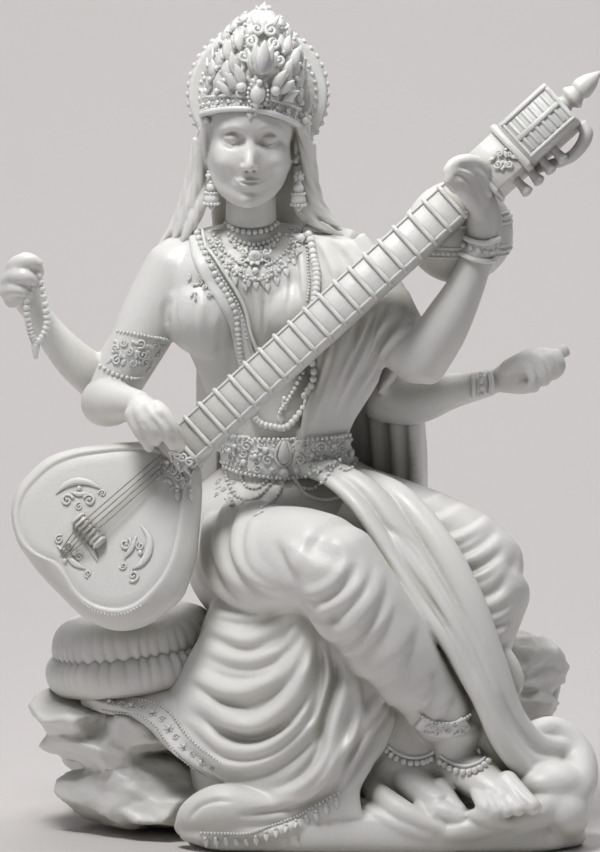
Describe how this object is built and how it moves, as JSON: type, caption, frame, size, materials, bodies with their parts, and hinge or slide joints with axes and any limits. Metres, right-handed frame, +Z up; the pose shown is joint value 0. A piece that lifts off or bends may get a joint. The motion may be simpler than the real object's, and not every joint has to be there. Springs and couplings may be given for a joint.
{
  "type": "saraswati figure",
  "caption": "Cast marble-resin figurine: a seated four-armed goddess playing a veena on a cushion and rocks, free-standing.",
  "frame": {"origin": "on the flat underside, under the middle of the figure", "axes": "+Z up to the crown, -Y the way the figure faces, +X towards the head of the instrument"},
  "size_m": [0.1684, 0.1188, 0.2345],
  "materials": {
    "cast_marble": "satin, rubbed white marble resin",
    "string_wire": "drawn wire"
  },
  "bodies": {
    "root": {"figure": "cast_marble", "string_1": "string_wire", "string_2": "string_wire", "string_3": "string_wire", "string_4": "string_wire"}
  },
  "joints": []
}
